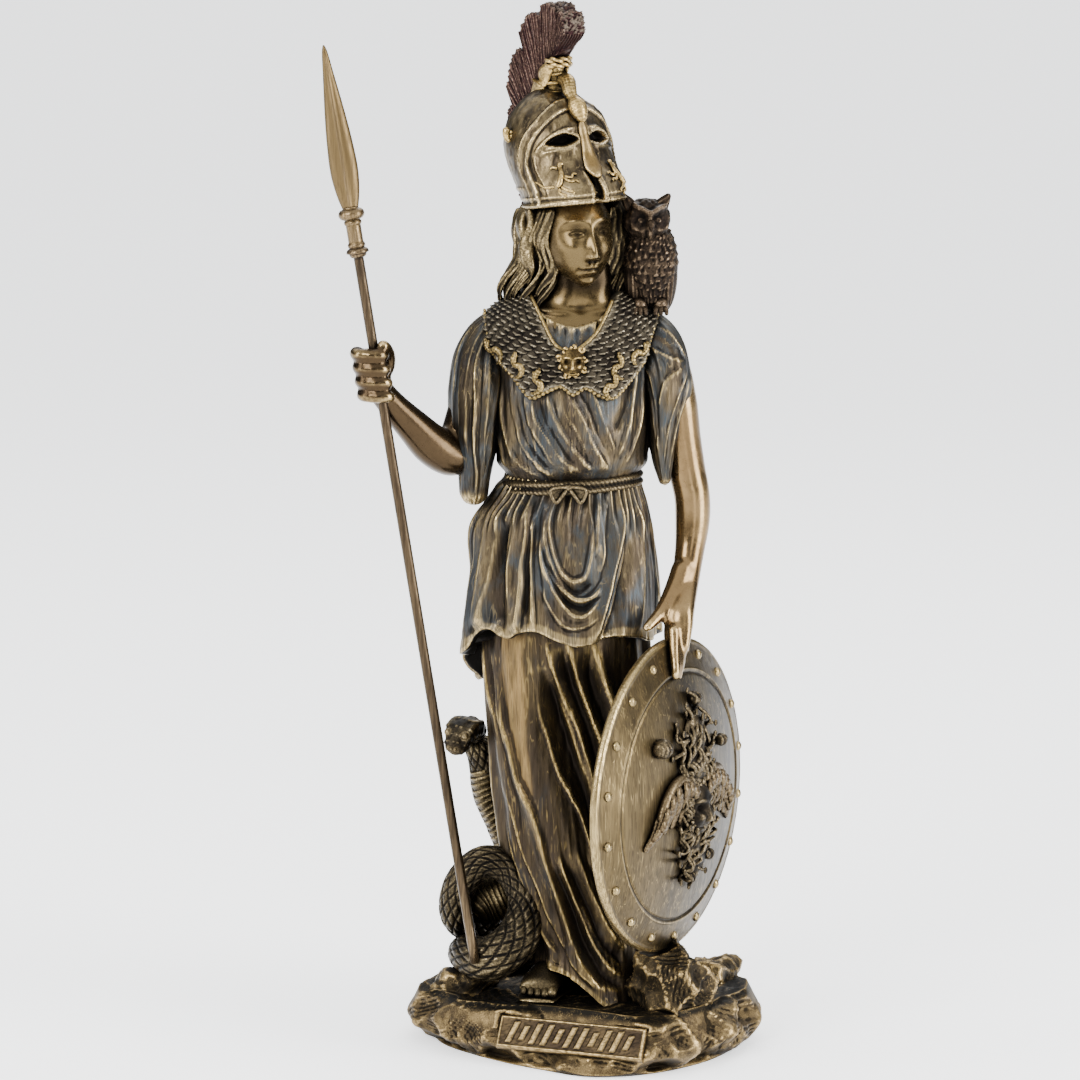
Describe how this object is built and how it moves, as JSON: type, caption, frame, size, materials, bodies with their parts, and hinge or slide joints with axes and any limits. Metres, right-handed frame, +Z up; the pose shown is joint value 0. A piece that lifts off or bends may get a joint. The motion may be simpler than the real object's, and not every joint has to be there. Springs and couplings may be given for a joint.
{
  "type": "athena statue",
  "caption": "Standing bronze-look goddess figurine on a rocky base, with a crested helmet, spear, round shield, owl and snake.",
  "frame": {"origin": "centre of the base's flat underside", "axes": "+Z up, the figure's front towards -Y, the shield on the +X side and the spear on the -X side"},
  "size_m": [0.1365, 0.1111, 0.33],
  "materials": {
    "antique_bronze": "cold-cast bronze, dark antique wash with rubbed highlights",
    "spear_bronze": "smooth satin bronze",
    "shield_bronze": "rubbed bronze with a darker relief",
    "plate_bronze": "satin coppery bronze"
  },
  "bodies": {
    "root": {"figure_and_base": "antique_bronze", "spear": "spear_bronze", "shield": "shield_bronze", "nameplate": "plate_bronze"}
  },
  "joints": []
}
